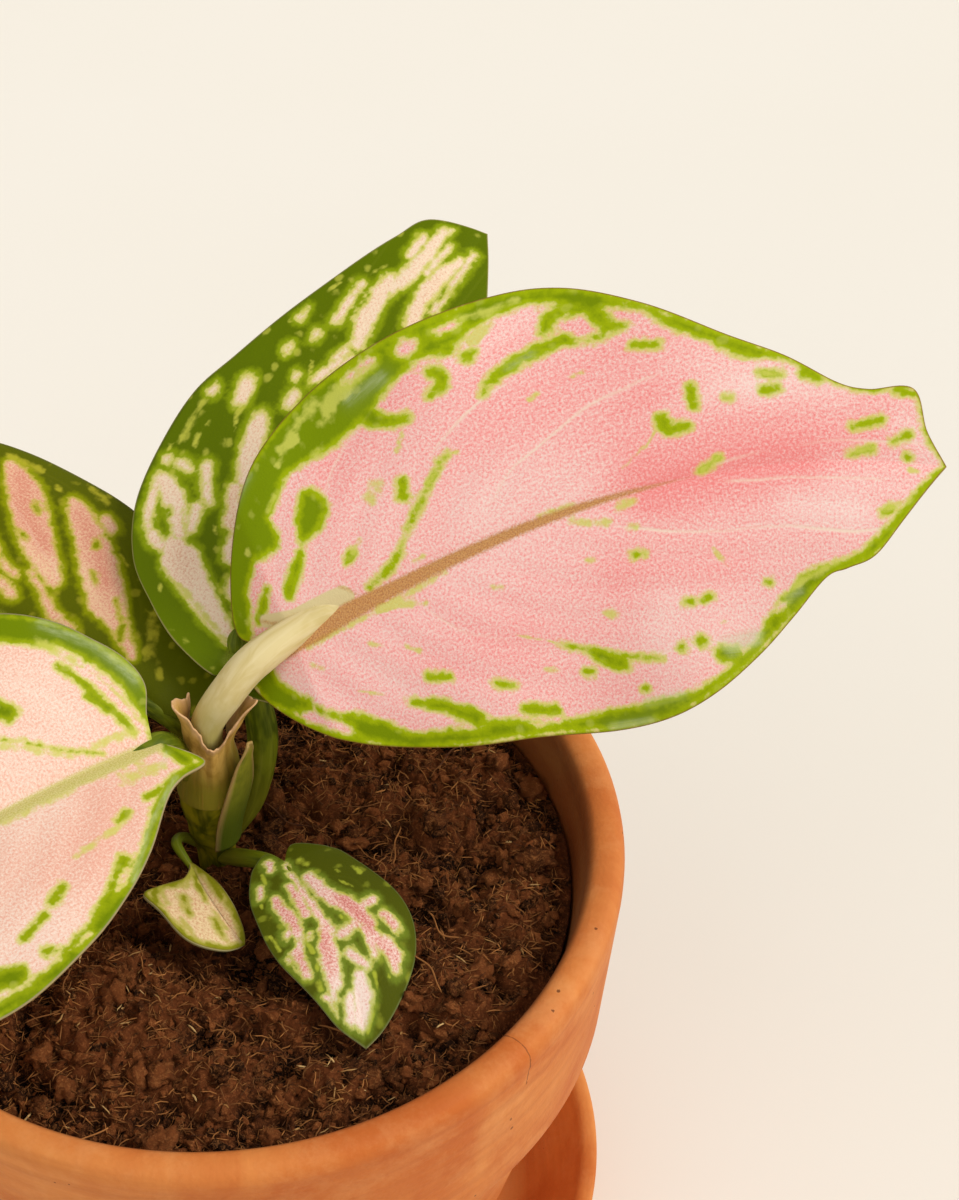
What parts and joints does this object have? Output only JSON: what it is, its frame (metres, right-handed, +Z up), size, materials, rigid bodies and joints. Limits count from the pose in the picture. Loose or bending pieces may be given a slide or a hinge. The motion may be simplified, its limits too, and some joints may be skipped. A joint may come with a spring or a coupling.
{
  "type": "potted red valentine chinese evergreen",
  "caption": "Young aroid house plant with broad pink and green leaves on short petioles, rooted in dark soil in a terracotta pot on a shallow saucer.",
  "frame": {"origin": "centre of the saucer's flat underside, which is the centre line of the pot", "axes": "+Z up out of the pot, +X to the right and +Y away from the viewer in the picture's view"},
  "size_m": [0.2172, 0.1533, 0.2036],
  "materials": {
    "terracotta": "unglazed fired clay, matt, with lime bloom",
    "soil": "damp coir and peat, rough, in clumps",
    "stem": "smooth living plant skin, satin",
    "papery_sheath": "dry papery sheath, matt",
    "leaf_pink": "waxy living leaf, satin, pink with green edge",
    "leaf_green": "waxy living leaf, satin, green with cream and pink blotches"
  },
  "bodies": {
    "root": {"saucer": "terracotta", "pot": "terracotta", "soil": "soil", "stem": "stem", "sheath": "papery_sheath", "leaf_right": "leaf_pink", "leaf_front_left": "leaf_pink", "leaf_back": "leaf_green", "leaf_back_left": "leaf_green", "leaf_small": "leaf_green", "leaf_curled": "leaf_green"}
  },
  "joints": []
}
